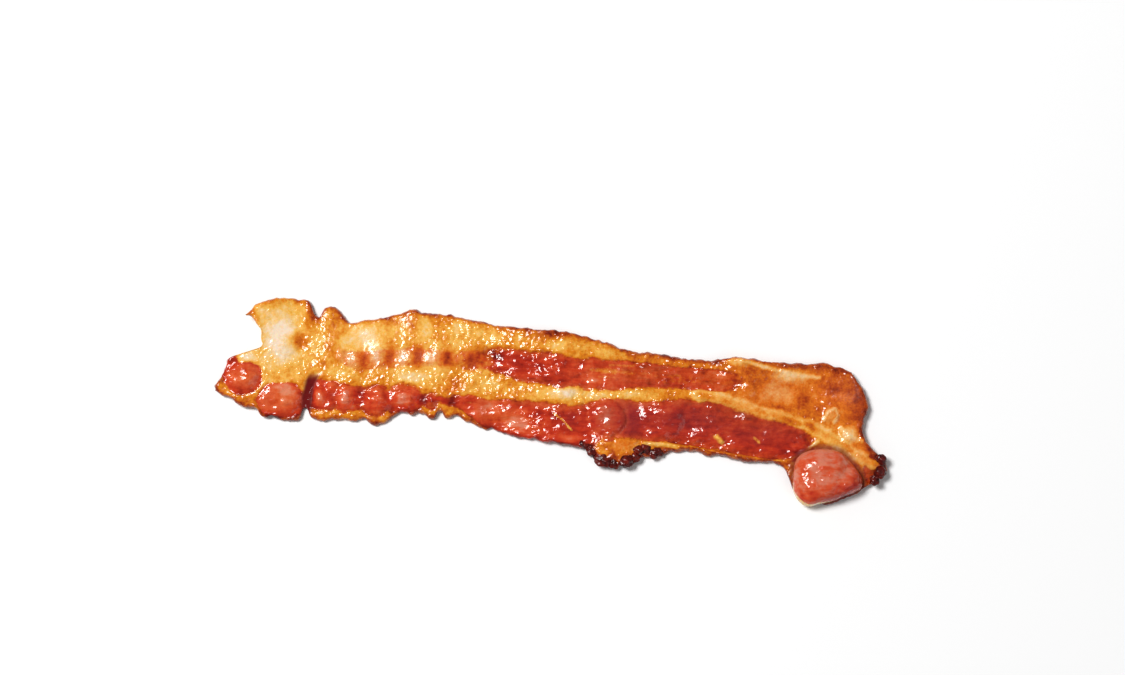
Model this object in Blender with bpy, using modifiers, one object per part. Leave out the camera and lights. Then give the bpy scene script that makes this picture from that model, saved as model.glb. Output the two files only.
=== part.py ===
"""A fried streaky bacon strip: one wavy, crinkled solid that rests on the low places of its underside.

The strip lies along X with its fatty edge towards +Y. Every length here is in millimetres until the
mesh is filled in, where MM turns it into metres. The origin is the middle of the strip's box, on the
table it rests on.
"""

import bmesh
import bpy
import numpy as np

MM = 0.001

# Cells of the surface, along the strip and across it.
CELLS_ALONG = 96
CELLS_ACROSS = 15

# The outline, as smooth curves from the left end to the right end.
FAT_EDGE = [
    (-90.0, 25.8), (-83.0, 30.6), (-74.0, 30.4), (-67.0, 27.4), (-59.0, 23.8), (-52.0, 24.8), (-42.0, 26.6),
    (-32.0, 26.2), (-22.0, 24.4), (-10.0, 22.4), (2.0, 21.1), (10.0, 19.8), (18.0, 17.2), (26.0, 15.1), (34.0, 14.2),
    (42.0, 12.9), (48.0, 12.3), (55.0, 13.2), (64.0, 12.3), (74.0, 11.4), (82.0, 11.2), (89.5, 8.8),
]
LEAN_EDGE = [
    (-98.9, 3.3), (-92.0, -0.6), (-84.0, -3.9), (-70.0, -4.8), (-50.0, -4.9), (-38.0, -4.0), (-26.0, -5.4),
    (-10.0, -9.9), (6.0, -12.9), (24.0, -15.6), (42.0, -14.6), (58.0, -17.6), (69.0, -19.2), (72.5, -26.5),
    (79.0, -30.2), (88.0, -28.0), (94.5, -24.4),
]
# How far each end stands out of the line between its corners: (share of the way to the fat edge, reach).
LEFT_END = [
    (0.0, 0.0), (0.07, 0.9), (0.24, -0.4), (0.45, -1.0), (0.56, -7.6), (0.63, -8.4), (0.81, -5.9), (0.92, -3.2),
    (1.0, 0.0),
]
RIGHT_END = [(0.0, 0.0), (0.1, 5.2), (0.2, 5.6), (0.36, 1.6), (0.5, 0.6), (0.69, 3.2), (0.85, 2.4), (1.0, 0.0)]
END_FADE = 24.0  # the ends' own outlines die away over this length
# Lobes and notches in the two long edges: (place along X, half width, reach outwards). They die away
# across the slice with this power of the share of its width.
LOBE_FADE = 4
FAT_LOBES = [(-68.9, 1.9, -3.4), (-63.6, 2.8, 2.6), (-40.3, 2.2, 1.2)]
LEAN_LOBES = [(-72.2, 1.6, -3.4), (-50.8, 3.6, 1.6), (-32.2, 1.8, -1.6), (16.2, 2.8, 3.2), (22.2, 3.4, 3.8)]

# Crests that lift the strip off the table: (place along X, spread, then the lift of the fat edge, the
# middle and the lean edge).
CRESTS = [
    (-89.0, 11.5, 4.2, 2.0, 1.8),
    (-63.4, 7.0, 0.4, 0.4, 0.8),
    (-41.0, 12.0, 0.8, 0.6, 0.9),
    (2.0, 15.0, 2.4, 1.4, 1.8),
    (21.0, 8.0, 0.4, 0.6, 2.0),
    (60.0, 14.0, 2.6, 0.8, 1.2),
    (97.0, 16.0, 2.6, 1.8, 0.8),
]
RESTING_SINK = 0.35  # what the table would press flat wherever the underside reaches it
# Crinkles across the left half, where the lean shrank more than the fat.
CRINKLE_LENGTH = 8.7
CRINKLE_PHASE = -58.8
CRINKLE_LIFT = 0.3
CRINKLE_MIDDLE = -41.0
CRINKLE_SPREAD = 20.0

# Thickness of the slice, thinner where its edges fried crisp, and of the swollen lump of lean.
MIDDLE_THICKNESS = 2.6
EDGE_THICKNESS = 1.7
EDGE_SQUARENESS = 4  # the higher, the narrower the thin edges
RIM_ROUNDING = 0.55
RIM_ANGLE = 60.0  # degrees; only edges sharper than this are rounded
LUMP_CENTRE = (81.8, -22.9)
LUMP_HALF_LENGTH = 11.0
LUMP_HALF_WIDTH = 8.0
LUMP_HEIGHT = 5.6


def curve_through(points, shares):
    """Points of a smooth curve through the given ones, at these shares of its length."""
    points = np.array(points, float)
    steps = np.linalg.norm(np.diff(points, axis=0), axis=1)
    knots = np.concatenate([[0.0], np.cumsum(steps)]) / steps.sum()
    slopes = np.gradient(points, knots, axis=0)
    start = np.clip(np.searchsorted(knots, shares, side="right") - 1, 0, len(steps) - 1)
    span = (knots[start + 1] - knots[start])[:, None]
    t = (shares - knots[start])[:, None] / span
    return (
        (1 + 2 * t) * (1 - t) ** 2 * points[start]
        + t * (1 - t) ** 2 * span * slopes[start]
        + t**2 * (3 - 2 * t) * points[start + 1]
        + t**2 * (t - 1) * span * slopes[start + 1]
    )


def bell(distance, spread):
    """A smooth bump, 1 in its middle."""
    return np.exp(-((distance / spread) ** 2))


def end_reach(profile, across):
    """How far an end stands out, at these shares of the way from the lean edge to the fat edge."""
    shares, reaches = zip(*profile)
    return np.interp(across, shares, reaches)


def lobe_reach(lobes, x):
    """How far the lobes and notches of an edge stand out at x."""
    return sum(reach * bell(x - place, half_width) for place, half_width, reach in lobes)


def plan(along, across):
    """Where a point of the slice lies on the table, from its shares of the way along and across."""
    fat = curve_through(FAT_EDGE, along)
    lean = curve_through(LEAN_EDGE, along)
    x, y = (lean + (fat - lean) * across[:, None]).T
    length = FAT_EDGE[-1][0] - FAT_EDGE[0][0]
    x = x - end_reach(LEFT_END, across) * np.clip(1 - along * length / END_FADE, 0, 1) ** 2
    x = x + end_reach(RIGHT_END, across) * np.clip(1 - (1 - along) * length / END_FADE, 0, 1) ** 2
    y = y + lobe_reach(FAT_LOBES, x) * across**LOBE_FADE
    y = y - lobe_reach(LEAN_LOBES, x) * (1 - across) ** LOBE_FADE
    return x, y


def underside_height(x, across):
    """Height of the underside over the table."""
    to_lean = 2 * (across - 0.5) * (across - 1)
    to_fat = 2 * across * (across - 0.5)
    to_middle = 4 * across * (1 - across)
    height = -RESTING_SINK
    for place, spread, fat, middle, lean in CRESTS:
        lift = fat * to_fat + middle * to_middle + lean * to_lean
        height = height + lift * bell(x - place, spread)
    crinkle = 0.5 + 0.5 * np.cos(2 * np.pi * (x - CRINKLE_PHASE) / CRINKLE_LENGTH)
    height = height + CRINKLE_LIFT * crinkle * bell(x - CRINKLE_MIDDLE, CRINKLE_SPREAD)
    return np.maximum(height, 0.0)


def thickness(x, y, across):
    """Thickness of the slice, with the lump that swelled at its right end."""
    inner = 1 - np.abs(2 * across - 1) ** EDGE_SQUARENESS
    slice_thickness = EDGE_THICKNESS + (MIDDLE_THICKNESS - EDGE_THICKNESS) * inner
    aside = ((x - LUMP_CENTRE[0]) / LUMP_HALF_LENGTH) ** 2 + ((y - LUMP_CENTRE[1]) / LUMP_HALF_WIDTH) ** 2
    return slice_thickness + LUMP_HEIGHT * np.sqrt(np.clip(1 - aside, 0, 1))


def underside_mesh():
    """The underside as a grid, and the thickness of the slice over each of its points."""
    grid = bmesh.new()
    bmesh.ops.create_grid(grid, x_segments=CELLS_ALONG, y_segments=CELLS_ACROSS, size=1.0)
    flat = np.array([vertex.co for vertex in grid.verts])
    along, across = (flat[:, 0] + 1) / 2, (flat[:, 1] + 1) / 2
    x, y = plan(along, across)
    places = np.stack([x, y, underside_height(x, across)], axis=1) * MM
    for vertex, place in zip(grid.verts, places):
        vertex.co = place
    mesh = bpy.data.meshes.new("bacon_strip")
    grid.to_mesh(mesh)
    grid.free()
    return mesh, thickness(x, y, across) * MM


def fried_meat():
    """The strip's overall colour: golden fat and red lean, glossy with grease."""
    material = bpy.data.materials.new("fried_streaky_bacon")
    material.use_nodes = True
    shader = material.node_tree.nodes["Principled BSDF"]
    shader.inputs["Base Color"].default_value = (0.62, 0.17, 0.06, 1.0)
    shader.inputs["Roughness"].default_value = 0.35
    shader.inputs["Metallic"].default_value = 0.0
    return material


def bacon_strip(parts):
    """The strip: its underside, thickened upwards along its own slope, with softened rims."""
    mesh, depths = underside_mesh()
    strip = bpy.data.objects.new("bacon_strip", mesh)
    parts.objects.link(strip)
    mesh.materials.append(fried_meat())

    deepest = float(depths.max())
    group = strip.vertex_groups.new(name="thickness")
    for index, depth in enumerate(depths):
        group.add([index], float(depth) / deepest, "REPLACE")
    thicken = strip.modifiers.new("Slice", "SOLIDIFY")
    thicken.thickness = deepest
    thicken.offset = 1.0
    thicken.vertex_group = group.name
    soften = strip.modifiers.new("Crisp rim", "BEVEL")
    soften.width = RIM_ROUNDING * MM
    soften.segments = 1
    soften.limit_method = "ANGLE"
    soften.angle_limit = np.radians(RIM_ANGLE)
    return strip


def centre_on_origin(strip):
    """Puts the middle of the strip's box over the origin."""
    bpy.context.view_layer.update()
    shaped = strip.evaluated_get(bpy.context.evaluated_depsgraph_get())
    corners = np.array([corner[:] for corner in shaped.bound_box])
    middle = (corners.min(axis=0) + corners.max(axis=0)) / 2
    strip.location = (-middle[0], -middle[1], 0.0)


for leftover in list(bpy.data.objects):
    bpy.data.objects.remove(leftover)
collection = bpy.data.collections.new("fried_bacon_strip")
bpy.context.scene.collection.children.link(collection)
centre_on_origin(bacon_strip(collection))
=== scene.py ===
import math

import bmesh
import bpy
import numpy as np
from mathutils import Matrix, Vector, noise


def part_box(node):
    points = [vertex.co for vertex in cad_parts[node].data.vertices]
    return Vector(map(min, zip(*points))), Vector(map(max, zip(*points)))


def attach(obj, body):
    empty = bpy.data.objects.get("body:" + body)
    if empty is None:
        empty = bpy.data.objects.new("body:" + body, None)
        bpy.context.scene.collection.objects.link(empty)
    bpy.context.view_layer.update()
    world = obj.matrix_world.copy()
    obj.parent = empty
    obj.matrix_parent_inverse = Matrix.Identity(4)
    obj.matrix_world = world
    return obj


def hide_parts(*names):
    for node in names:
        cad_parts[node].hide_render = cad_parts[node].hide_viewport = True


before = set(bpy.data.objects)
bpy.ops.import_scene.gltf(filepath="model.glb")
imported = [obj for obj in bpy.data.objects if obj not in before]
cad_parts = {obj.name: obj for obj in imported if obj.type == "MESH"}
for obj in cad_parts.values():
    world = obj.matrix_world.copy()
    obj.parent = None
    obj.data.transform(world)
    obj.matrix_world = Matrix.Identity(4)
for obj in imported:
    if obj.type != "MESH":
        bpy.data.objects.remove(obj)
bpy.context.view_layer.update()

# -------------------------------------------------------------------------------------------------
# The rasher: one slice of streaky pork belly, 2 to 3 mm thick, with two bands of lean between its
# fat. The pan has shrunk the lean into crinkles, blistered the fat and browned every thin edge.
# -------------------------------------------------------------------------------------------------
MM = 0.001
FAT_EDGE = [
    (-90.0, 25.8), (-83.0, 30.6), (-74.0, 30.4), (-67.0, 27.4), (-59.0, 23.8), (-52.0, 24.8),
    (-42.0, 26.6), (-32.0, 26.2), (-22.0, 24.4), (-10.0, 22.4), (2.0, 21.1), (10.0, 19.8), (18.0, 17.2),
    (26.0, 15.1), (34.0, 14.2), (42.0, 12.9), (48.0, 12.3), (55.0, 13.2), (64.0, 12.3), (74.0, 11.4),
    (82.0, 11.2), (89.5, 8.8),
]
LEAN_EDGE = [
    (-98.9, 3.3), (-92.0, -0.6), (-84.0, -3.9), (-70.0, -4.8), (-50.0, -4.9), (-38.0, -4.0),
    (-26.0, -5.4), (-10.0, -9.9), (6.0, -12.9), (24.0, -15.6), (42.0, -14.6), (58.0, -17.6),
    (69.0, -19.2), (72.5, -26.5), (79.0, -30.2), (88.0, -28.0), (94.5, -24.4),
]
# How far each end reaches past the straight line between its corners, from the lean edge up.
LEFT_END = [
    (0.0, 0.0), (0.07, 0.9), (0.15, 0.2), (0.24, -0.5), (0.36, -0.4), (0.45, -1.0), (0.48, -2.8),
    (0.52, -5.4), (0.56, -8.2), (0.6, -8.7), (0.67, -7.8), (0.81, -5.9), (0.9, -3.8), (0.96, -2.0),
    (1.0, 0.0),
]
RIGHT_END = [
    (0.0, 0.0), (0.1, 5.2), (0.2, 5.6), (0.36, 1.6), (0.5, 0.6), (0.69, 3.2), (0.85, 2.4), (1.0, 0.0),
]
END_FADE = 24.0
FRAY_DEPTH = 1.2
# Small notches and lobes of the two long edges: place, half width, reach outwards.
FAT_LOBES = [
    (-87.6, 1.6, 0.6), (-71.6, 1.6, 0.8), (-68.9, 1.6, -2.8), (-63.6, 3.0, 2.6), (-40.3, 1.8, 1.1),
    (-15.5, 2.4, -0.4), (15.5, 1.9, 0.4), (81.9, 2.0, 0.5),
]
LEAN_LOBES = [
    (-94.6, 2.0, -0.5), (-87.6, 2.0, -1.2), (-84.6, 1.6, 0.6), (-76.5, 4.0, 0.7), (-72.2, 1.2, -3.4),
    (-67.4, 2.0, 0.6), (-58.5, 2.4, 0.5), (-50.8, 3.2, 1.6), (-43.6, 2.2, -1.3), (-38.6, 1.8, -0.9),
    (-34.8, 1.3, 1.0), (-32.2, 1.3, -1.5), (-27.4, 1.8, -1.1), (-19.6, 1.8, 0.7), (16.2, 2.4, 3.2),
    (22.2, 3.4, 3.8), (12.0, 1.6, -0.4), (31.0, 3.0, 1.0), (46.5, 2.0, 0.5),
]
# The waves it lies in: place, spread, then the lift of the fat edge, the middle and the lean edge.
CRESTS = [
    (-89.0, 12.5, 3.4, 1.8, 1.6),
    (-63.4, 7.0, 0.4, 0.4, 0.8),
    (-41.0, 12.0, 0.35, 0.3, 0.6),
    (2.0, 15.0, 2.4, 1.4, 1.8),
    (21.0, 8.0, 0.4, 0.6, 2.0),
    (60.0, 14.0, 2.6, 0.8, 1.2),
    (97.0, 16.0, 1.9, 1.3, 0.7),
]
# How far the waves are pressed into the surface below, and how softly they meet it.
RESTING_SINK = 0.35
RESTING_BLUR = 0.5
MIDDLE_THICKNESS = 2.6
EDGE_THICKNESS = 1.5
RIM_RADIUS = 0.7
THINNEST_RIM = 0.4
LOWEST_TOP = 0.1
CELLS_ALONG = 500
CELLS_ACROSS = 88
# Knobs of lean that the crinkling has pushed up: middle, half length, half width, height.
KNOBS = [
    (-67.9, 1.6, 2.3, 2.9, 0.9), (-64.4, 4.2, 2.2, 2.0, 0.8), (-60.3, 1.1, 3.0, 3.9, 1.3),
    (-64.6, -0.6, 1.8, 1.8, 0.4), (-51.2, 0.5, 4.2, 4.4, 1.4), (-43.2, 1.2, 4.9, 4.0, 1.5),
    (-34.8, 0.4, 1.8, 2.4, 0.5), (-62.2, 14.2, 2.0, 1.8, 0.4), (-57.4, 12.8, 2.4, 2.6, 0.2),
    (-50.4, 13.4, 2.4, 3.0, 0.15), (-42.6, 13.5, 2.6, 3.0, 0.15), (-34.0, 13.2, 2.8, 3.0, 0.05),
    (-25.0, 12.6, 2.6, 2.8, 0.2),
]
# Patches blistered and wet with grease: middle, half length, half width, share.
WET_PATCHES = [
    (-58, 20.5, 8, 4, 0.0), (-46, 22, 6, 4, 0.2), (-36, 21, 4, 4, 0.4), (-79, 20, 6, 7, 0.12),
    (-88, 8, 6, 6, 0.35), (-79, 0, 8, 4, 0.35), (-72, 1, 2, 5, 0.65), (-22, 19, 8, 3, 0.6),
    (-16, -5, 7, 4, 0.15), (50, -6, 12, 4, 0.25), (66, 2.4, 9, 4, 0.3), (88, 2, 6, 6, 0.15),
    (-2, 13, 5, 3, 1.0), (9, 9, 5, 3, 0.8), (-3.5, -6, 6, 4, 1.0), (9, -1, 7, 2, 0.9),
    (33.5, -0.6, 3.5, 2, 1.0), (-60, 7.6, 4, 2.4, 0.65), (-44, 7.4, 7, 2.2, 0.75), (-24, 6, 10, 3.4, 1.0),
    (12, 1.4, 7, 1.6, 1.0), (24, 3.4, 8, 1.6, 0.7), (-84, 12, 3, 4, 0.7), (-69, 15, 2.4, 2, 1.0),
    (-34, 18, 4, 2, 0.8), (57, 12, 5, 2, 0.9), (70, 9, 7, 2, 0.9), (84, -4, 3, 3, 0.8),
    (91, 4, 3, 6, 0.15), (89, -10, 4, 3, 0.7), (43, -12.5, 9, 2, 0.8), (-68.4, 2, 2, 2, 0.8),
    (-60.3, 1, 3, 3, 0.8), (-51, 2, 3, 2, 0.7), (-43, 2, 4, 3, 0.9), (50.4, -11.2, 2, 2, 0.9),
    (-44, 13, 22, 3.0, 0.45), (-58.2, 13.6, 0.7, 0.9, 0.8), (-50.9, 13.8, 0.7, 0.9, 0.7),
    (-43.2, 13.8, 0.7, 0.9, 0.7), (-35.4, 13.6, 1.8, 2.4, 0.2), (17, -3, 3, 2, 0.8),
    (-54.6, 13, 1.6, 3, 0.0), (-47, 13.8, 1.6, 3, 0.0), (-38.8, 13.8, 1.6, 3, 0.0),
    (-30.2, 12.8, 1.5, 3, 0.1), (-22.8, 12.6, 1.8, 3, 0.1), (-16, 13.8, 3, 2, 0.75),
    (-63.6, 18, 2, 7, 0.15), (-57, 20.5, 5, 4, 0.05), (-46, 21.4, 6, 4, 0.12), (-36, 21.5, 4, 4, 0.3),
    (-51, 18.5, 3.5, 3, 0.08), (-41, 23, 3, 3, 0.15), (88.5, 2.0, 5.0, 7, 0.0),
]
# The crests of the fine crinkles, and how much they lift the underside and the upper side.
CRINKLE_CRESTS = [-77.0, -68.2, -59.6, -50.4, -41.4, -33.4, -24.2, -14.0, -4.0]
CRINKLES_START = (-71, -68)
CRINKLES_END = (-27, -8)
CRINKLE_HEIGHT = 0.10
CRINKLE_RELIEF = 0.03

# The lean bands, each between an upper and a lower line, and the y that parts the two.
BANDS_PART = 8
UPPER_LEAN = (
    [
        (-62.5, 15.2), (-55, 15.4), (-46.7, 16), (-38.4, 16.4), (-29.8, 15.4), (-18.8, 16), (-10, 15.9),
        (-3.4, 14.8), (7.6, 13.2), (16, 12.4), (28.6, 11.6), (40, 10.2), (50, 9.4), (58, 7.4),
    ],
    [
        (-62.5, 11.6), (-58.8, 9.6), (-46.7, 10.4), (-29.8, 10.2), (-18.5, 9.0), (-11.7, 7.6), (-6, 5.8),
        (0, 4.8), (7.6, 4.2), (16, 3.4), (22, 4.0), (28.6, 4.4), (42.8, 3.6), (50, 3.4), (58, 4.4),
    ],
)
LOWER_LEAN = (
    [
        (-71, 4.8), (-66.7, 6.8), (-62.4, 5.0), (-55.9, 4.7), (-47.6, 3.8), (-40, 4.4), (-35, 1.8),
        (-31.3, 1.2), (-25.3, 2.2), (-18.5, 1.0), (-6, 0.3), (2, -0.6), (9, -1.0), (13, 0.2), (19, 1.0),
        (26.5, 0.1), (42.8, 0.4), (54.7, -1.2), (62, -3.6), (69.5, -6.2), (75.4, -9.2), (79.5, -12.2),
    ],
    [
        (-71, -2.0), (-60.9, -2.6), (-51, -3.2), (-41.6, -2.8), (-34.2, -0.3), (-27.4, -1.6),
        (-22.4, -5.0), (-18.5, -8.0), (-8, -12.5), (5, -15), (12, -13.5), (16, -10.9), (26.5, -11.2),
        (38.4, -12.3), (50.2, -14.5), (57.6, -15.9), (68, -17.3), (72, -17.6), (79.5, -13.4),
    ],
)
# Round spots of lean: middle, half length, half width.
LEAN_SPOTS = [
    (-90.2, 7.0, 5.2, 4.8), (-94.2, 9.6, 2.6, 4.6), (-79.4, 0.4, 6.9, 5.3), (17.4, -10.6, 1.6, 1.4),
    (96.0, -20.0, 3.4, 4.4),
]
LUMP_MIDDLE = (81.8, -22.9)
# The lump's outline: direction in degrees from +X, and reach.
LUMP_OUTLINE = [
    (0, 10.5), (28, 8.9), (66, 9.0), (90, 9.0), (110, 9.5), (146, 10.8), (165, 10.2), (180, 10.1),
    (207, 10.6), (233, 9.9), (250, 7.8), (266, 6.9), (290, 6.6), (316, 7.1), (335, 9.0), (344, 10.2),
    (360, 10.5),
]
# Seams and threads of fat: half width, lift, tone, share, points. The pale raised threads along the top of
# the dish, round the blister near x 83 and over the lump are partly threads of fat and partly a painted
# highlight in their pale tone.
SEAMS = [
    (0.35, 0.15, 0.36, 0.8, [(1.5, -3.6), (4.2, -5.6), (6.6, -8.4)]),
    (1.1, 0.1, 0.62, 0.25, [(-8, 10.4), (0, 9.6), (12, 7.8)]),
    (1.2, 0.1, 0.60, 0.35, [(12, 9.6), (20, 8.8), (34, 7.8), (44, 6.6)]),
    (1.0, 0.0, 0.62, 0.3, [(18, 11.4), (28, 10.2), (40, 8.8)]),
    (1.0, 0.1, 0.60, 0.4, [(32, 6.2), (42, 6.2), (54, 5.6)]),
    (1.0, 0.0, 0.62, 0.3, [(36, 9.4), (46, 8.4), (56, 7.2)]),
    (1.0, 0.4, 0.36, 0.7, [(49.4, -10.2), (50.2, -11.0), (50.9, -12.2)]),
    (0.9, 0.3, 0.36, 0.6, [(60.6, -10.8), (61.4, -11.4), (61.9, -12.0)]),
    (1.7, 0.5, 0.42, 1.0, [(44, 2.2), (50, 0.8), (57, -1.3), (64, -3.8), (71, -5.6)]),
    (1.7, 0.5, 0.38, 1.0, [(77, -7.4), (81.5, -9.6), (85, -12.2), (90, -15.4), (95.5, -18.8)]),
    (1.5, 0.5, 0.58, 1.0, [(70, -5.3), (77, -7.4)]),
    (0.8, 0.3, 0.26, 0.5, [(53, 12.2), (58, 12.0), (66, 9.6), (73, 8.0), (80, 7.2)]),
    (0.6, 0.7, 0.30, 0.9, [(28, -12.4), (34, -12.6), (41, -13.6)]),
    (0.7, 0.3, 0.60, 0.8, [(41.5, -13.4), (50, -15.2), (58, -16.4), (66, -17.6)]),
    (0.6, 0.9, 0.34, 0.5, [(66.0, -17.3), (71.0, -17.0), (75.0, -15.0), (79.2, -11.6)]),
    (0.5, 0.6, 0.34, 0.6, [(81.0, -5.4), (82.0, -3.0), (84.4, -1.8), (85.2, -4.0), (84.0, -6.0)]),
    (0.8, 0.5, 0.22, 0.7, [(86.0, -8.0), (88.6, -10.6), (92.0, -11.6)]),
]
# Blisters that fat and steam have lifted: middle, radius, height.
BLISTERS = [
    (17.2, -4.7, 5.6, 1.6), (33.6, -4.6, 6.6, 0.8), (-90.6, 7.4, 4.6, 0.8), (-79.4, 0.8, 5.6, 0.7),
    (-79.2, 19.0, 6.0, 0.5), (-73.4, 18.0, 2.8, -0.25), (13.4, 6.4, 2.6, 0.5), (4.6, 3.0, 3.0, 0.4),
    (17.4, -10.6, 1.7, 0.7), (-9.5, 8.2, 2.6, 0.4), (-38.2, 13.6, 3.6, 0.2), (56.5, 12.4, 3.0, 0.6),
    (59.0, 3.6, 2.2, 0.5), (88.4, -9.4, 2.8, 0.8), (83.2, -3.8, 2.0, 0.7), (50.4, -11.2, 1.5, 0.4),
]
# The crease where the left end folds under, from the lean edge up, and its depth at each y.
FOLD = [
    (-72.0, -5.0), (-71.6, 2.0), (-70.6, 6.0), (-69.0, 8.8), (-66.4, 11.3), (-64.5, 14.2), (-63.8, 20.0),
    (-63.9, 27.0),
]
FOLD_DEPTH = [(-5, 0.7), (3, 0.7), (7, 0.55), (10, 0.1), (20, 0.0), (27, 0.0)]
# How strongly the rim is burnt: middle, half length, half width, share.
RIM_BURNS = [
    (-83.0, 29.0, 9.0, 4.0, 0.5), (-86.0, 19.0, 3.0, 6.0, 0.2), (-70.2, 26.0, 2.0, 4.0, 2.0),
    (-60.6, 25.4, 1.6, 2.4, 1.8), (-40.0, 27.0, 5.0, 3.0, 1.3), (-10.0, 22.5, 16.0, 3.0, 1.1),
    (20.0, 16.0, 16.0, 3.0, 1.0), (80.0, 10.6, 9.0, 3.0, 1.9), (92.0, 3.0, 6.0, 8.0, 1.8),
    (93.5, -6.0, 4.0, 6.0, 2.0), (97.0, -20.0, 4.0, 6.0, 2.6), (-50.0, -5.0, 16.0, 3.0, 0.9),
    (0.0, -12.0, 20.0, 3.0, 1.3), (36.0, -15.0, 12.0, 3.0, 2.2), (56.0, -18.0, 12.0, 3.0, 1.6),
    (17.0, -18.0, 9.0, 3.0, 2.6), (-95.0, 11.0, 3.0, 4.0, 0.3),
]


def curve_through(points, shares):
    """A smooth curve through the points, read at shares of its length."""
    points = np.array(points, float)
    steps = np.linalg.norm(np.diff(points, axis=0), axis=1)
    knots = np.concatenate([[0.0], np.cumsum(steps)]) / steps.sum()
    return np.stack([line_at(list(zip(knots, points[:, i])), shares) for i in (0, 1)], axis=1)


def line_at(points, x):
    """The height at x of a smooth line through (x, height) points, level beyond its ends."""
    places, heights = np.array(points, float).T
    slopes = np.gradient(heights, places)
    x = np.clip(x, places[0], places[-1])
    i = np.clip(np.searchsorted(places, x, side="right") - 1, 0, len(places) - 2)
    span = places[i + 1] - places[i]
    t = (x - places[i]) / span
    return (
        (1 + 2 * t) * (1 - t) ** 2 * heights[i]
        + t * (1 - t) ** 2 * span * slopes[i]
        + t**2 * (3 - 2 * t) * heights[i + 1]
        + t**2 * (t - 1) * span * slopes[i + 1]
    )


def bell(distance, spread):
    return np.exp(-((distance / spread) ** 2))


def ramp(value, low, high):
    """0 below low, 1 above high, smooth between."""
    t = np.clip((value - low) / (high - low), 0, 1)
    return t * t * (3 - 2 * t)


def dome(radius):
    """The height of a low bubble, over distance from its middle in radii."""
    return np.clip(1 - radius**2, 0, 1) ** 0.65


def grain(x, y, size_x, size_y, seed):
    """Smooth noise of about -1 to 1, with grains of this size in millimetres."""
    return 1.4 * np.array([noise.noise(Vector((a, b, seed))) for a, b in zip(x / size_x, y / size_y)])


def pebbles(x, y, size_x, size_y, seed):
    """1 on the tops of rounded pebbles, 0 in the creases between them."""
    nearest = np.array([noise.voronoi(Vector((a, b, seed)))[0][0:2] for a, b in zip(x / size_x, y / size_y)])
    return ramp(nearest[:, 1] - nearest[:, 0], 0.0, 0.6)


def dabbed(values, dabs):
    """Draws the values towards those of the dabs: middle, half length, half width, value."""
    for place_x, place_y, half_length, half_width, wanted in dabs:
        share = bell(np.hypot((x - place_x) / half_length, (y - place_y) / half_width), 1.0)
        values = values + (wanted - values) * share
    return values


sheet = bmesh.new()
bmesh.ops.create_grid(sheet, x_segments=CELLS_ALONG, y_segments=CELLS_ACROSS, size=1.0)
flat = np.array([vertex.co for vertex in sheet.verts])
along, across = (flat[:, 0] + 1) / 2, (flat[:, 1] + 1) / 2
across = 0.5 * across + 0.5 * (0.5 - 0.5 * np.cos(np.pi * across))

# The plan: the two long edges with the ends' profiles, notches, lobes and a fine frayed rim.
fat_line, lean_line = curve_through(FAT_EDGE, along), curve_through(LEAN_EDGE, along)
width = np.linalg.norm(fat_line - lean_line, axis=1)
length = FAT_EDGE[-1][0] - FAT_EDGE[0][0]
x, y = (lean_line + (fat_line - lean_line) * across[:, None]).T
from_left, from_right = along * length, (1 - along) * length
x = x - line_at(LEFT_END, across) * np.clip(1 - from_left / END_FADE, 0, 1) ** 2
x = x + line_at(RIGHT_END, across) * np.clip(1 - from_right / END_FADE, 0, 1) ** 2
for place, half_width, reach in FAT_LOBES:
    y = y + reach * np.exp(-np.abs((x - place) / half_width) ** 3) * across**5
for place, half_width, reach in LEAN_LOBES:
    y = y - reach * np.exp(-np.abs((x - place) / half_width) ** 3) * (1 - across) ** 5
from_fat, from_lean = (1 - across) * width, across * width
from_rim = np.minimum(np.minimum(from_fat, from_lean), np.minimum(from_left, from_right))
frayed = 0.4 * grain(x, y, 2.8, 2.8, 3.1) + 0.22 * grain(x, y, 1.1, 1.1, 8.2)
y = y + frayed * (np.exp(-from_fat / FRAY_DEPTH) - np.exp(-from_lean / FRAY_DEPTH))
x = x + frayed * (np.exp(-from_right / FRAY_DEPTH) - np.exp(-from_left / FRAY_DEPTH))

# Lean or fat, from 1 to 0. The bands stray a little and are pinched between the crinkles.
wander = 0.6 * grain(x, y, 6, 4, 21.0) + 0.4 * grain(x, y, 2.4, 1.8, 22.0)
wander = wander + 0.25 * grain(x, y, 0.9, 0.8, 23.0)
turn = np.interp(x + wander, CRINKLE_CRESTS, np.arange(len(CRINKLE_CRESTS)))
gap = 2 * np.abs(turn - np.round(turn))
crinkled = ramp(x, *CRINKLES_START) * (1 - ramp(x, *CRINKLES_END))
strayed, pinched = wander * 0.9, 0.4 * crinkled * gap
lean, swell = np.zeros(len(x)), np.zeros(len(x))
for upper, lower, clear in ((*UPPER_LEAN, 0.5), (*LOWER_LEAN, 0.1)):
    top = line_at(upper, x) + strayed - pinched
    low = line_at(lower, x) + strayed + pinched
    ends = ramp(x, upper[0][0] - 1, upper[0][0] + 1) * (1 - ramp(x, upper[-1][0] - 6, upper[-1][0] + 1))
    body = ramp(top - y, -0.5, 0.5) * ramp(y - low, -0.5, 0.5) * ends
    lean = np.maximum(lean, body * (1 - crinkled * clear))
    share = np.clip((y - low) / np.maximum(top - low, 0.5), 0, 1)
    swell = np.maximum(swell, np.sqrt(4 * share * (1 - share)) * ends)
knobs = np.zeros(len(x))
for place_x, place_y, half_length, half_width, lift in KNOBS:
    radius = np.hypot((x - place_x) / half_length, (y - place_y) / half_width) + 0.22 * wander
    knobs = np.maximum(knobs, lift * bell(np.maximum(radius, 0), 0.72))
    if place_y < BANDS_PART:
        lean = np.maximum(lean, ramp(1.0 - radius, -0.3, 0.25))
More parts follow.
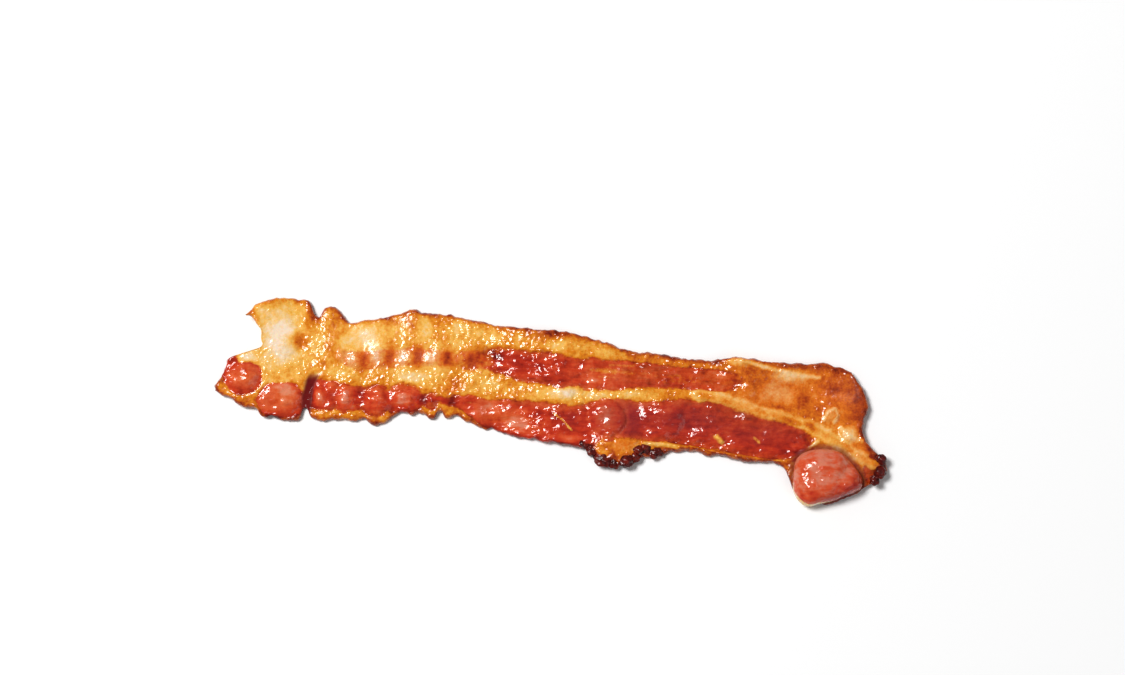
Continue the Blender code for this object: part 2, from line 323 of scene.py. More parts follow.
for place_x, place_y, half_length, half_width in LEAN_SPOTS:
    radius = (np.abs((x - place_x) / half_length) ** 2.5 + np.abs((y - place_y) / half_width) ** 2.5) ** 0.4
    lean = np.maximum(lean, ramp(1 - radius - 0.12 * wander, -0.08, 0.08))


def from_path(points):
    """Distance from a line that runs straight from point to point."""
    distance = np.full(len(x), np.inf)
    for (start_x, start_y), (end_x, end_y) in zip(points, points[1:]):
        run_x, run_y = end_x - start_x, end_y - start_y
        share = np.clip(((x - start_x) * run_x + (y - start_y) * run_y) / (run_x**2 + run_y**2), 0, 1)
        distance = np.minimum(distance, np.hypot(x - start_x - share * run_x, y - start_y - share * run_y))
    return distance


seams, seam_lift, seam_tone = (np.zeros(len(x)) for _ in range(3))
for half_width, lift, tone, most, points in SEAMS:
    share = most * bell(np.maximum(from_path(points) + 0.5 * half_width * wander, 0), half_width)
    seam_lift = np.maximum(seam_lift, lift * share)
    seam_tone = seam_tone + (tone - seam_tone) * share
    seams = np.maximum(seams, share)
lean = lean * (1 - ramp(seams, 0.1, 0.9))

around = np.degrees(np.arctan2(y - LUMP_MIDDLE[1], x - LUMP_MIDDLE[0])) % 360
from_lump = np.hypot(x - LUMP_MIDDLE[0], y - LUMP_MIDDLE[1]) - line_at(LUMP_OUTLINE, around)

# Height of the underside: the waves, levelled where they press on the surface below.
to_lean, to_fat = 2 * (across - 0.5) * (across - 1), 2 * across * (across - 0.5)
to_middle = 4 * across * (1 - across)
height = np.full(len(x), -RESTING_SINK)
for place, spread, fat_lift, middle_lift, lean_lift in CRESTS:
    lift = fat_lift * to_fat + middle_lift * to_middle + lean_lift * to_lean
    height = height + lift * bell(x - place, spread)
crinkle_fade = 1 - 0.95 * ramp(y, 14, 18)
height = height + CRINKLE_HEIGHT * (0.5 + 0.5 * np.cos(np.pi * gap)) * crinkled * crinkle_fade
height = RESTING_BLUR * np.log1p(np.exp(height / RESTING_BLUR))
height = height - height.min()

# Thickness and the relief of the upper side.
THICKNESS_GRAIN = 0.12
DAMPNESS = 0.42
LEAN_SINK = 0.15
RIM_PEBBLES = 0.3
BORDER_GROOVE = 0.3
FOLD_SPREAD = 1.6
HOLLOW_DEPTH = 1.3
HOLLOW_PLACE = (72, 2.8)
HOLLOW_SPREAD = (13, 4.6)
RIM_CURL = 0.9
from_fold = from_path(FOLD)
fold_depth = line_at(FOLD_DEPTH, y)
even = 1 - crinkled * (y > BANDS_PART)
thickness = EDGE_THICKNESS + (MIDDLE_THICKNESS - EDGE_THICKNESS) * (1 - np.abs(2 * across - 1) ** 4)
thickness = thickness + THICKNESS_GRAIN * grain(x, y, 9, 7, 40.0)
wet = np.clip(dabbed(DAMPNESS + 0.3 * grain(x, y, 7, 5, 61.0), WET_PATCHES), 0, 1)
relief = crinkled * CRINKLE_RELIEF * np.cos(np.pi * gap) * crinkle_fade + knobs
relief = relief + (0.2 + 0.2 * lean) * grain(x, y, 7, 5, 45.0)
relief = relief + lean * (0.22 * grain(x, y, 4, 2.2, 50.0) - LEAN_SINK)
wrinkled = 0.08 * grain(x, y, 1.6, 1.3, 52.0) - 0.45 * np.abs(grain(x, y, 3.4, 2.1, 51.0))
blistered = 0.36 * pebbles(x, y, 1.9, 1.5, 60.0) + 0.14 * grain(x, y, 1.2, 1.0, 62.0)
relief = relief + wet * (lean * wrinkled + (1 - lean) * blistered) + seam_lift
relief = relief + RIM_PEBBLES * (0.4 + 0.6 * wet) * pebbles(x, y, 1.5, 1.3, 64.0) * bell(from_rim - 0.9, 0.8)
relief = relief - BORDER_GROOVE * bell(lean - 0.5, 0.28) * even * ramp(from_fold, 1.0, 3.0)
rings = np.zeros(len(x))
for place_x, place_y, radius, lift in BLISTERS:
    share = np.hypot(x - place_x, y - place_y) / radius * (1 + 0.08 * wander)
    relief = relief + lift * dome(share)
    rings = np.maximum(rings, bell(share - 1.06, 0.10) * (lift > 1))
relief = relief - fold_depth * bell(from_fold, FOLD_SPREAD) - knobs * (1 - ramp(from_fold, 1.0, 3.4))
hollow = bell(x - HOLLOW_PLACE[0], HOLLOW_SPREAD[0]) * bell(y - HOLLOW_PLACE[1], HOLLOW_SPREAD[1])
relief = relief - HOLLOW_DEPTH * hollow
curl = np.exp(-from_rim / 1.4) - np.exp(-from_rim / 0.5)
relief = relief + RIM_CURL * curl * (0.6 + 0.6 * grain(x, y, 7, 7, 70.0))

inward = np.clip(from_rim / RIM_RADIUS, 0, 1)
rounding = np.sqrt(1 - (1 - inward) ** 2)

for vertex, place in zip(sheet.verts, np.stack([x, y, height], axis=1) * MM):
    vertex.co = place
sheet.normal_update()
normals = np.array([vertex.normal for vertex in sheet.verts])
normals = normals * np.sign(normals[:, 2].mean())
slant = 1 / np.maximum(normals[:, 2], 0.6)
middle = height + slant * thickness / 2
under_height = np.maximum(middle - slant * thickness / 2 * rounding, 0)
upper_height = np.maximum(middle + slant * (thickness / 2 * rounding + relief * inward), LOWEST_TOP)
upper_height = np.maximum(upper_height, under_height + THINNEST_RIM * rounding)
upper_height = np.where(from_rim > 0, upper_height, under_height)
under_side, upper_side = (np.stack([x, y, level], axis=1) for level in (under_height, upper_height))

# Tones, from 0 for pale to 1 for black: middle, half length, half width, tone.
# Some of these dabs are painted shade: the darker fat along the fold from x -67 to -64, and in the hollow of
# the flap at (-73.4, 18).
FAT_TONES = [
    (-80.0, 18.0, 9.0, 12.0, 0.17), (-54.6, 13.0, 1.8, 3.0, 0.78), (-47.0, 13.8, 2.0, 3.2, 0.80),
    (-38.8, 13.8, 2.0, 3.2, 0.80), (-30.2, 12.8, 2.2, 2.8, 0.76), (-22.8, 12.6, 2.4, 2.8, 0.74),
    (-90.0, 7.4, 4.0, 3.6, 0.46), (-79.4, 0.4, 6.0, 4.0, 0.42), (-16.0, -4.0, 6.0, 4.0, 0.46),
    (-83.5, 25.5, 4.5, 4.0, 0.26), (-75.0, 28.0, 5.0, 2.6, 0.30), (-79.4, 20.0, 4.4, 5.4, -0.12),
    (-78.6, 14.0, 3.4, 3.0, -0.06), (-89.0, 25.8, 2.0, 1.5, 0.42), (-73.4, 18.0, 2.8, 2.6, 0.58),
    (-76.6, 9.0, 5.0, 3.0, 0.36), (-83.0, 12.0, 3.0, 3.0, 0.18), (-89.5, 13.2, 3.5, 1.6, 0.08),
    (-70.4, 26.6, 1.6, 3.2, 0.64), (-68.0, 24.4, 1.8, 1.4, 0.64), (-65.6, 24.5, 1.6, 4.0, 0.42),
    (-69.4, 20.0, 2.8, 3.6, 0.38), (-63.8, 21.0, 1.7, 6.0, 0.54), (-64.6, 14.6, 1.8, 2.4, 0.62),
    (-67.0, 11.4, 2.4, 1.8, 0.56), (-55.0, 20.0, 6.5, 4.2, 0.13), (-60.4, 22.6, 1.8, 1.8, 0.38),
    (-47.6, 22.8, 2.4, 3.6, 0.50), (-43.6, 21.6, 2.2, 4.0, 0.42), (-40.2, 21.8, 1.3, 5.4, 0.54),
    (-36.4, 21.6, 2.4, 3.6, 0.22), (-31.6, 21.4, 1.8, 4.0, 0.44), (-27.0, 21.0, 2.4, 3.5, 0.26),
    (-22.0, 20.6, 3.0, 3.4, 0.36), (-16.0, 19.6, 3.0, 2.5, 0.24), (-8.0, 18.6, 5.0, 2.5, 0.40),
    (0.6, 20.0, 5.0, 1.4, 0.6), (3.2, 16.6, 4.0, 1.6, 0.22), (10.0, 15.8, 3.0, 1.4, 0.36),
    (16.0, 14.6, 4.0, 1.4, 0.26), (24.0, 13.4, 5.0, 1.4, 0.46), (36.0, 12.4, 7.0, 1.6, 0.48),
    (56.4, 12.2, 3.6, 1.6, 0.12), (-84.0, 5.4, 3.0, 4.0, 0.32), (-60.5, 8.0, 3.0, 2.0, 0.24),
    (-33.0, 8.6, 3.0, 2.2, 0.32), (-27.6, 5.6, 2.6, 2.0, 0.6), (-18.0, 5.4, 5.0, 2.4, 0.25),
    (-7.6, 3.4, 3.6, 1.4, 0.46), (5.4, 2.4, 6.6, 1.8, 0.05), (14.0, 2.0, 4.0, 1.2, 0.10),
    (23.3, 2.4, 5.0, 1.2, 0.22), (-41.0, 7.4, 4.6, 1.8, 0.10), (21.6, -12.8, 5.0, 2.4, 0.46),
    (68.0, 2.6, 5.6, 3.0, 0.28), (62.0, 8.4, 3.4, 1.6, 0.64), (68.0, -1.4, 4.4, 1.3, 0.62),
    (79.4, 5.0, 3.0, 1.6, 0.60), (79.0, -3.0, 3.0, 1.4, 0.58), (87.0, 7.0, 3.4, 2.0, 0.62),
    (71.0, 7.6, 6.0, 1.8, 0.16), (82.0, 3.2, 4.0, 5.0, 0.60), (91.4, 0.5, 2.6, 7.0, 0.64),
    (75.5, 0.4, 2.4, 2.2, 0.62), (60.0, 5.0, 3.0, 3.0, 0.56), (83.2, -3.8, 1.6, 1.6, 0.36),
    (88.6, -9.6, 3.4, 2.6, 0.16), (86.0, -6.0, 2.0, 2.0, 0.5), (-51.0, 13.5, 2.0, 3.0, 0.05),
    (-43.2, 13.6, 2.0, 3.0, 0.08), (-34.6, 13.3, 2.2, 3.0, 0.14), (-58.8, 13.0, 2.2, 2.6, 0.14),
    (-55.0, -4.2, 5.0, 1.4, 0.4), (-49.0, -5.2, 4.0, 1.4, 0.36),
]
LEAN_TONES = [
    # Some of these dabs are painted shade: the near-black lean in the fold at x -71.4, and the darker lean in
    # the gaps between the knobs at x -56.2, -37.2 and -28.4.
    (-54.6, 13.0, 2.0, 3.0, 0.50), (-47.0, 13.8, 2.0, 3.0, 0.52), (-38.8, 13.8, 2.1, 3.0, 0.52),
    (-30.2, 12.8, 2.3, 2.8, 0.52), (-89.4, 8.0, 3.0, 2.8, 0.24), (-94.0, 8.6, 2.0, 4.4, 0.32),
    (-87.6, 3.4, 2.0, 2.0, 0.5), (-79.4, 0.2, 5.4, 3.6, 0.24), (-78.0, 3.6, 4.6, 2.2, 0.06),
    (-71.4, 2.4, 1.8, 5.6, 0.98), (-68.0, 1.6, 1.4, 2.2, -0.02), (-64.4, 4.2, 1.8, 1.6, 0.26),
    (-60.3, 1.2, 2.4, 2.8, -0.04), (-56.2, 1.8, 1.2, 3.4, 0.56), (-51.2, 0.4, 2.8, 2.8, 0.2),
    (-43.2, 1.2, 3.6, 2.8, -0.04), (-37.2, 1.6, 1.4, 2.6, 0.62), (-28.4, 0.2, 1.6, 1.6, 0.74),
    (-19.0, -2.6, 5.0, 3.4, 0.08), (-8.0, -6.0, 6.0, 3.5, 0.0), (-3.0, -3.4, 5.0, 2.6, 0.52),
    (2.8, -10.9, 7.0, 1.8, 0.14), (8.6, -4.5, 2.0, 4.0, 0.5), (17.2, -4.7, 3.6, 3.6, 0.06),
    (57.0, -4.0, 3.6, 2.4, 0.74), (73.6, -9.2, 4.0, 2.8, 0.68), (44.0, -4.0, 9.0, 4.0, 0.6),
    (60.0, -10.0, 9.0, 4.0, 0.5), (36.0, -9.0, 5.0, 2.6, 0.5), (74.6, -15.0, 2.4, 1.6, 0.86),
    (96.0, -20.0, 3.2, 4.2, 0.8), (33.6, -3.0, 3.6, 2.6, 0.3), (-8.0, 12.0, 5.0, 3.0, 0.56),
    (0.0, 13.4, 4.0, 2.0, 0.5), (14.0, 9.6, 5.0, 2.0, 0.44), (33.0, 5.0, 6.0, 1.2, 0.62),
    (33.0, 10.4, 7.0, 1.4, 0.6), (13.4, 6.4, 2.4, 2.0, 0.1), (-15.0, 13.8, 3.0, 1.6, 0.66),
    (-28.6, 12.8, 2.2, 2.6, 0.5), (-51.0, 13.5, 2.0, 3.0, 0.02), (-43.2, 13.6, 2.0, 3.0, 0.02),
    (-34.6, 13.3, 2.2, 3.0, 0.05), (-58.8, 13.0, 2.2, 2.6, 0.05),
]
# Shares of the purple tint in the lean, and of the clear amber of fat fried through.
PURPLE = [
    (24.2, -5.0, 3.2, 5.6, 1.0), (17.4, -4.6, 5.0, 4.6, 0.55), (40.0, -5.0, 16.0, 5.0, 0.6),
    (62.0, -9.0, 12.0, 4.0, 0.5), (6.5, -5.0, 3.0, 3.0, 0.35),
]
# The amber share in the hollow of the flap at (-73.4, 18) darkens it as painted shade.
AMBER = [
    (-62.0, 14.4, 1.8, 1.6, 0.7), (-54.6, 13.0, 2.0, 3.0, 0.9), (-47.0, 13.8, 2.0, 3.0, 0.9),
    (-38.8, 13.8, 2.1, 3.0, 0.9), (-30.2, 12.8, 2.3, 2.8, 0.85), (-22.8, 12.6, 2.4, 2.8, 0.7),
    (-73.4, 18.0, 2.6, 2.4, 0.5), (-90.0, 7.4, 4.0, 3.6, 0.5), (-79.4, 0.4, 6.0, 4.0, 0.45),
    (-28.0, 4.0, 2.6, 2.0, 0.7), (-16.0, -4.0, 6.0, 4.0, 0.4), (66.0, 3.4, 16.0, 8.0, 1.0),
    (84.0, 2.0, 9.0, 10.0, 1.0), (52.0, 7.6, 10.0, 3.4, 0.8), (28.0, 8.4, 18.0, 3.4, 0.45),
    (91.5, -4.0, 4.0, 10.0, 1.0), (92.0, -15.0, 4.0, 6.0, 0.7), (21.6, -12.8, 6.0, 2.4, 0.8),
    (38.0, 12.4, 12.0, 1.8, 0.4),
]
# The tones away from all those places, and how much the burnt rim adds, in a wide and a narrow band.
FAT_TONE = 0.46
LEAN_TONE = 0.50
WIDE_SINGE = 0.12
NARROW_SINGE = 0.22
MARBLED = [(30, 8, 26, 4, 0.4), (-6, 11, 8, 4, 0.4), (50, -5, 24, 5, 0.1)]
burn = dabbed(np.ones(len(x)), RIM_BURNS) * (1 + 0.5 * grain(x, y, 2.4, 2.4, 90.0))
singed = burn * (WIDE_SINGE * np.exp(-from_rim / 2.4) + NARROW_SINGE * bell(from_rim, 1.1))
border = bell(lean - 0.5, 0.4) * (lean < 0.9) * even
fat_tone = dabbed(FAT_TONE + 0.08 * ramp(x, 20, 60), FAT_TONES)
fat_tone = fat_tone + (seam_tone - fat_tone) * ramp(seams, 0.1, 0.6)
fat_tone = np.clip(fat_tone + singed + 0.25 * border, -0.15, 0.80)
lean_tone = dabbed(np.full(len(x), LEAN_TONE), LEAN_TONES)
lean_tone = np.clip(lean_tone + 0.8 * singed - 0.16 * rings, 0, 0.94)
# Painted shade: the fold, the gaps between the knobs of lean and a band round the foot of the lump are drawn
# towards a deep red.
fold_shade = ramp(fold_depth, 0.2, 0.6) * ramp(-from_fold, -1.9, -0.9)
knob_gap_shade = crinkled * ramp(gap, 0.45, 1.0) * ramp(lean, 0.5, 0.9) * (1 - ramp(knobs, 0.1, 0.5)) * (y < BANDS_PART)
lump_join_shade = bell(from_lump - 0.3, 1.1) * ramp(x + 0.6 * y, 52, 60)
glow = lean * (1 - ramp(swell, 0.2, 0.9)) * ramp(x, -72, -60)
tones = {
    "lean": lean,
    "fat_tone": fat_tone,
    "lean_tone": lean_tone,
    "purple": dabbed(np.zeros(len(x)), PURPLE),
    "amber": np.maximum(dabbed(np.zeros(len(x)), AMBER), 0.5 * glow),
    "crease_shade": 0.75 * lump_join_shade + fold_shade + 0.3 * knob_gap_shade,
    "wet": wet * (1 - fold_shade),
    "dry": np.exp(-from_rim / 0.9),
    "marbled": dabbed(np.full(len(x), 0.15), MARBLED),
}

back = bmesh.ops.duplicate(sheet, geom=sheet.verts[:] + sheet.edges[:] + sheet.faces[:])
sheet.verts.ensure_lookup_table()
count = len(flat)
layers = [(sheet.verts.layers.float.new(name), values) for name, values in tones.items()]
for i in range(count):
    for vertex, place in ((sheet.verts[i], upper_side[i]), (sheet.verts[count + i], under_side[i])):
        vertex.co = place * MM
        for layer, values in layers:
            vertex[layer] = values[i]
bmesh.ops.reverse_faces(sheet, faces=[item for item in back["geom"] if isinstance(item, bmesh.types.BMFace)])
bmesh.ops.remove_doubles(sheet, verts=sheet.verts, dist=1e-6)
for face in sheet.faces:
    face.smooth = True
node_low, node_high = (np.array(corner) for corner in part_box("bacon_strip"))
places = np.array([vertex.co for vertex in sheet.verts])
centring = (node_low + node_high) / 2 - (places.min(0) + places.max(0)) / 2
centring[2] = 0
bmesh.ops.translate(sheet, verts=sheet.verts, vec=centring)
mesh = bpy.data.meshes.new("rasher")
sheet.to_mesh(mesh)
sheet.free()
rasher = bpy.data.objects.new("rasher", mesh)
bpy.context.scene.collection.objects.link(rasher)

FAT_COLOURS = [
    (0.0, (0.84, 0.67, 0.50)), (0.16, (0.82, 0.56, 0.27)), (0.34, (0.81, 0.445, 0.09)),
    (0.54, (0.68, 0.235, 0.012)), (0.72, (0.46, 0.09, 0.006)), (0.86, (0.24, 0.024, 0.004)),
    (1.0, (0.06, 0.006, 0.002)),
]
LEAN_COLOURS = [
    (0.0, (0.68, 0.23, 0.14)), (0.2, (0.66, 0.105, 0.032)), (0.45, (0.52, 0.042, 0.012)),
    (0.62, (0.36, 0.022, 0.009)), (0.78, (0.18, 0.008, 0.005)), (0.9, (0.08, 0.004, 0.003)),
    (1.0, (0.02, 0.003, 0.002)),
]
GLAZE_COLOURS = [
    (0.15, (0.84, 0.50, 0.24)), (0.35, (0.74, 0.28, 0.10)), (0.55, (0.66, 0.135, 0.013)),
    (0.75, (0.36, 0.05, 0.008)), (0.95, (0.10, 0.012, 0.004)),
]
LEAN_PURPLE = (0.23, 0.027, 0.038, 1)
# The deep red painted as shade into the fold, the gaps between the knobs and round the lump.
CREASE_SHADE_RED = (0.15, 0.001, 0.0003, 1)
bacon = bpy.data.materials.new("fried_bacon")
bacon.use_nodes = True
tree = bacon.node_tree
shader = tree.nodes["Principled BSDF"]


def node(kind, inputs=None, **settings):
    """Adds a node and sets or links its inputs, named or numbered."""
    made = tree.nodes.new(kind)
    for name, value in settings.items():
        setattr(made, name, value)
    for name, value in (inputs or {}).items():
        if isinstance(value, bpy.types.NodeSocket):
            tree.links.new(value, made.inputs[name])
        else:
            made.inputs[name].default_value = value
    return made


def attribute(name):
    return node("ShaderNodeAttribute", attribute_name=name).outputs["Fac"]


def maths(operation, *values, clamp=False):
    return node("ShaderNodeMath", dict(enumerate(values)), operation=operation, use_clamp=clamp).outputs[0]


def blend(share, first, second):
    return node("ShaderNodeMix", {0: share, 6: first, 7: second}, data_type="RGBA").outputs[2]


def speckle(size, stretch=(1, 1, 1), detail=3.0, place=(0, 0, 0)):
    """Noise from 0 to 1 whose grains have this size in millimetres."""
    moved = node("ShaderNodeMapping", {"Vector": coordinates, "Location": place, "Scale": stretch})
    grains = {"Vector": moved.outputs[0], "Scale": 1 / (size * MM), "Detail": detail}
    return node("ShaderNodeTexNoise", grains).outputs[0]


def colours(value, stops):
    made = node("ShaderNodeValToRGB", {0: value})
    elements = made.color_ramp.elements
    while len(elements) < len(stops):
        elements.new(0.5)
    for element, (place, colour) in zip(elements, stops):
        element.position = place
        element.color = (*colour, 1.0)
    return made.outputs[0]


# Colour: fat and lean each run from pale to burnt, and the grain of both is shifted by fine noise.
coordinates = node("ShaderNodeTexCoord").outputs["Object"]
calm = maths("MULTIPLY_ADD", attribute("amber"), -0.3, 1.0)
cloudy = maths("SUBTRACT", speckle(4.0), 0.5)
mottled = maths("MULTIPLY", maths("SUBTRACT", speckle(1.3, place=(0.3, 0, 0)), 0.5), calm)
gritty = maths("SUBTRACT", speckle(0.5, place=(0, 0.2, 0)), 0.5)
fibrous = maths("SUBTRACT", speckle(1.2, stretch=(0.3, 1, 1), place=(0.1, 0, 0)), 0.5)

fat_value = maths("MULTIPLY_ADD", cloudy, 0.5, attribute("fat_tone"))
fat_value = maths("MULTIPLY_ADD", mottled, 0.45, fat_value)
fat_value = maths("MULTIPLY_ADD", gritty, 0.25, fat_value, clamp=True)
lean_value = maths("MULTIPLY_ADD", cloudy, 0.6, attribute("lean_tone"))
lean_value = maths("MULTIPLY_ADD", fibrous, 0.6, lean_value)
lean_value = maths("MULTIPLY_ADD", mottled, 0.3, lean_value, clamp=True)
fat_colour = colours(fat_value, FAT_COLOURS)
lean_colour = colours(lean_value, LEAN_COLOURS)
lean_colour = blend(maths("MULTIPLY", attribute("purple"), 0.75), lean_colour, LEAN_PURPLE)
lean_share = maths("MULTIPLY_ADD", gritty, 0.3, attribute("lean"))
lean_share = maths("MULTIPLY_ADD", mottled, 0.5, lean_share)
threads = speckle(2.4, stretch=(0.22, 1, 1), detail=4.0, place=(0, 0, 0.4))
threads = maths("MULTIPLY", maths("MAXIMUM", maths("SUBTRACT", threads, 0.52), 0.0), 6.0)
lean_share = maths("SUBTRACT", lean_share, maths("MULTIPLY", threads, attribute("marbled")))
lean_share = colours(lean_share, [(0.2, (0, 0, 0)), (0.8, (1, 1, 1))])
flesh = blend(lean_share, fat_colour, lean_colour)
glaze = colours(fat_value, GLAZE_COLOURS)
flesh = blend(maths("MULTIPLY", attribute("amber"), 0.75), flesh, glaze)
# Painted shade: the creases are drawn towards the deep red.
flesh = blend(maths("MULTIPLY", attribute("crease_shade"), 1.0, clamp=True), flesh, CREASE_SHADE_RED)
tree.links.new(flesh, shader.inputs["Base Color"])
# Fine relief: bubbles in the fat, wrinkles and fibres in the lean, strongest where grease has fried it.
wrinkles = speckle(2.0, stretch=(0.8, 1, 1), detail=1.0, place=(0, 0, 0.1))
ridges = maths("ABSOLUTE", maths("SUBTRACT", wrinkles, 0.5))
bubbles = {"Vector": coordinates, "Scale": 1 / MM, "Smoothness": 0.6}
cells = node("ShaderNodeTexVoronoi", bubbles, feature="SMOOTH_F1")
fat_bumps = maths("MULTIPLY_ADD", cells.outputs["Distance"], -0.24, maths("MULTIPLY", mottled, 0.25))
lean_bumps = maths("MULTIPLY_ADD", ridges, -1.0, maths("MULTIPLY", fibrous, 0.12))
bumps = node("ShaderNodeMix", {0: lean_share, 2: fat_bumps, 3: lean_bumps}, data_type="FLOAT").outputs[0]
bumps = maths("MULTIPLY_ADD", gritty, 0.03, bumps)
bumps = maths("MULTIPLY", bumps, maths("MULTIPLY_ADD", attribute("wet"), 0.9, 0.08))
bump = node("ShaderNodeBump", {"Height": bumps, "Strength": 1.0, "Distance": MM})
tree.links.new(bump.outputs[0], shader.inputs["Normal"])
# Gloss: greased all over, a little duller where dry and at the rim, and dull in the creases.
dull = maths("MULTIPLY_ADD", maths("POWER", maths("SUBTRACT", 1.0, attribute("wet")), 3.0), 0.08, 0.13)
dull = maths("MAXIMUM", maths("MULTIPLY_ADD", mottled, 0.10, dull), 0.10)
shine = maths("MULTIPLY_ADD", attribute("dry"), 0.12, dull, clamp=True)
shine = maths("MAXIMUM", shine, maths("MULTIPLY", attribute("crease_shade"), 0.9, clamp=True))
tree.links.new(shine, shader.inputs["Roughness"])
shader.inputs["Specular IOR Level"].default_value = 0.45
shader.inputs["Coat Weight"].default_value = 0.08
shader.inputs["Coat Roughness"].default_value = 0.08
shader.inputs["Subsurface Weight"].default_value = 0.12
shader.inputs["Subsurface Radius"].default_value = (1.0, 0.3, 0.1)
shader.inputs["Subsurface Scale"].default_value = 0.001
mesh.materials.append(bacon)
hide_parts("bacon_strip")
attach(rasher, "root")

# -------------------------------------------------------------------------------------------------
# The swollen lump: a knot of lean at the thick end that has puffed up and kept its pink, on a sliver
# of pale fat. It grows out of the rasher and is glazed with the same grease.
# -------------------------------------------------------------------------------------------------
LUMP_TOP = 8.0
LUMP_WAIST = 2.6
LUMP_FOOT = 0.6
LUMP_GROOVE = 0.5
knot = bmesh.new()
bmesh.ops.create_uvsphere(knot, u_segments=128, v_segments=64, radius=1.0)
ball = np.array([vertex.co for vertex in knot.verts])
around = np.degrees(np.arctan2(ball[:, 1], ball[:, 0])) % 360
reach = np.hypot(ball[:, 0], ball[:, 1]) ** 0.72 * line_at(LUMP_OUTLINE, around)
x = LUMP_MIDDLE[0] + reach * np.cos(np.radians(around))
y = LUMP_MIDDLE[1] + reach * np.sin(np.radians(around))
crown, foot = (LUMP_TOP - LUMP_WAIST) * np.abs(ball[:, 2]) ** 0.9, (LUMP_WAIST - LUMP_FOOT) * ball[:, 2]
rise = np.where(ball[:, 2] > 0, crown, foot)
swelling = 0.5 * grain(x, y, 6, 5, 80.0) + 0.12 * grain(x, y, 2.4, 2.0, 81.0)
above = ramp(ball[:, 2], 0.0, 0.5)
shape = np.stack([x, y, LUMP_WAIST + rise + above * swelling], axis=1)
groove = LUMP_GROOVE * above * bell(x - 0.5 * y - 97.5, 1.8)
shape[:, 2] = np.minimum(shape[:, 2] - groove, LUMP_TOP + 0.6)
low_side = ramp(-0.6 * ball[:, 0] - 0.85 * ball[:, 1] - 0.7 * ball[:, 2] + 0.15 * swelling, 0.55, 0.75)
# Painted shade: the lower and right sides of the lump get a darker lean tone and more purple, as the sides
# turned away from the light.
lower, right = ramp(-ball[:, 1], -0.2, 0.7), ramp(ball[:, 0], 0.1, 0.8)
tones = {
    "lean": 1 - low_side,
    "fat_tone": 0.16 + 0.2 * swelling,
    "lean_tone": 0.08 + 0.20 * lower + 0.14 * right + 0.25 * swelling,
    "purple": 0.15 + 0.4 * ramp(ball[:, 0] - ball[:, 1], 0.2, 1.2),
    "amber": 0 * x,
    "crease_shade": 0 * x,
    "wet": 0.6 - 0.3 * ramp(ball[:, 1], -0.2, 0.6),
    "dry": 0 * x,
    "marbled": 0.15 + 0 * x,
}
layers = [(knot.verts.layers.float.new(name), values) for name, values in tones.items()]
for i, vertex in enumerate(knot.verts):
    vertex.co = shape[i] * MM + centring
    for layer, values in layers:
        vertex[layer] = values[i]
for face in knot.faces:
    face.smooth = True
mesh = bpy.data.meshes.new("swollen_lump")
knot.to_mesh(mesh)
knot.free()
mesh.materials.append(bacon)
lump = bpy.data.objects.new("swollen_lump", mesh)
bpy.context.scene.collection.objects.link(lump)
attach(lump, "root")

# -------------------------------------------------------------------------------------------------
# Charred beads: blobs of juice and lean that boiled out along the edge and burnt on it, dark and
# glassy. They stick to the rim of the rasher in a row.
# -------------------------------------------------------------------------------------------------
BLOBS = [
    (10.6, -13.0, 1.5), (12.8, -14.0, 1.6), (14.7, -15.6, 1.8), (16.3, -17.6, 2.1), (18.5, -18.4, 2.0),
    (20.7, -17.4, 1.8), (22.9, -18.0, 2.0), (24.8, -16.8, 1.7), (26.6, -15.0, 1.6), (28.5, -14.4, 1.7),
    (30.6, -15.1, 1.7), (32.6, -15.4, 1.4), (17.6, -15.8, 1.3), (24.0, -14.9, 1.2), (97.4, -21.0, 2.0),
    (96.0, -23.4, 1.4), (97.6, -17.6, 1.5),
]
EDGE_BEAD_HEIGHT = 2.1
TIP_BEAD_HEIGHT = 3.2
chance = np.random.default_rng(7)
burnt = bmesh.new()
for place_x, place_y, radius in BLOBS:
    for _ in range(3):
        size = radius * chance.uniform(0.65, 1.15)
        middle_x, middle_y = place_x + chance.normal(0, 0.45), place_y + chance.normal(0, 0.45) + 0.5
        middle_z = (EDGE_BEAD_HEIGHT if place_x < 50 else TIP_BEAD_HEIGHT) + chance.normal(0, 0.35)
        made = bmesh.ops.create_icosphere(burnt, subdivisions=4, radius=1.0)["verts"]
        ball = np.array([vertex.co for vertex in made])
        bumpy = 1 + 0.28 * grain(ball[:, 0] + middle_x, ball[:, 1] + ball[:, 2], 0.8, 0.8, middle_y)
        bead = ball * bumpy[:, None] * (size, size * 0.9, size * 0.7) + (middle_x, middle_y, middle_z)
        bead[:, 2] = np.maximum(bead[:, 2], 0.05)
        for vertex, place in zip(made, bead):
            vertex.co = place * MM + centring
for face in burnt.faces:
    face.smooth = True
mesh = bpy.data.meshes.new("charred_beads")
burnt.to_mesh(mesh)
burnt.free()
CHAR_COLOURS = [(0.3, (0.02, 0.002, 0.002)), (0.5, (0.10, 0.006, 0.004)), (0.68, (0.20, 0.016, 0.005))]
char = bpy.data.materials.new("char")
char.use_nodes = True
tree = char.node_tree
shader = tree.nodes["Principled BSDF"]
coordinates = node("ShaderNodeTexCoord").outputs["Object"]
soot = speckle(1.6)
tree.links.new(colours(soot, CHAR_COLOURS), shader.inputs["Base Color"])
bump = node("ShaderNodeBump", {"Height": speckle(0.7), "Strength": 0.6, "Distance": 0.0003})
tree.links.new(bump.outputs[0], shader.inputs["Normal"])
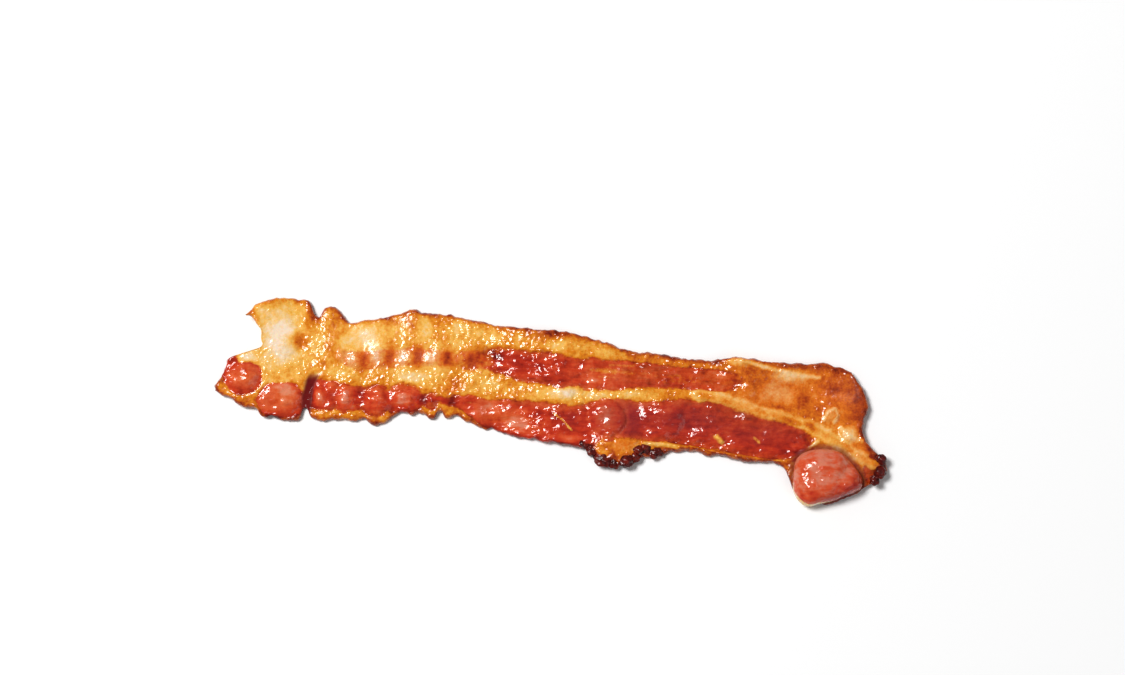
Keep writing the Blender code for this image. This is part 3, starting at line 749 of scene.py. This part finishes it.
tree.links.new(maths("MULTIPLY_ADD", soot, 0.3, 0.08), shader.inputs["Roughness"])
mesh.materials.append(char)
crust = bpy.data.objects.new("charred_beads", mesh)
bpy.context.scene.collection.objects.link(crust)
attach(crust, "root")

# -------------------------------------------------------------------------------------------------
# The setting: a pale floor, soft light from the upper left, and the camera almost overhead.
# -------------------------------------------------------------------------------------------------
bpy.ops.mesh.primitive_plane_add(size=6.0)
floor = bpy.context.object
floor.name = "floor"
paint = bpy.data.materials.new("pale_floor")
paint.use_nodes = True
paint.node_tree.nodes["Principled BSDF"].inputs["Base Color"].default_value = (0.9, 0.9, 0.9, 1)
paint.node_tree.nodes["Principled BSDF"].inputs["Roughness"].default_value = 0.9
floor.data.materials.append(paint)

world = bpy.data.worlds.new("studio")
bpy.context.scene.world = world
world.use_nodes = True
world.node_tree.nodes["Background"].inputs["Color"].default_value = (1, 1, 1, 1)
world.node_tree.nodes["Background"].inputs["Strength"].default_value = 0.21


def softbox(name, place, size, power):
    light = bpy.data.lights.new(name, "AREA")
    light.size = size
    light.energy = power
    made = bpy.data.objects.new(name, light)
    made.location = place
    made.rotation_euler = (-Vector(place)).to_track_quat("-Z", "Y").to_euler()
    bpy.context.scene.collection.objects.link(made)


softbox("key", (-0.80, 0.46, 1.66), 0.56, 30.0)
softbox("fill", (1.3, -1.0, 1.5), 1.2, 4.0)

# How wide a stretch of the floor the view takes in, the point it looks at, and its lean from overhead.
FRAME_WIDTH = 0.3333
AIM = Vector((0.0036, 0.0188, 0.002))
TILT = math.radians(6)
view = bpy.data.cameras.new("camera")
view.lens = 85.0
camera = bpy.data.objects.new("camera", view)
distance = FRAME_WIDTH * view.lens / view.sensor_width
camera.location = AIM + Vector((0, -math.sin(TILT), math.cos(TILT))) * distance
camera.rotation_euler = (TILT, 0, 0)
bpy.context.scene.collection.objects.link(camera)
bpy.context.scene.camera = camera
bpy.context.scene.view_settings.view_transform = "Standard"
bpy.context.scene.view_settings.look = "Medium High Contrast"
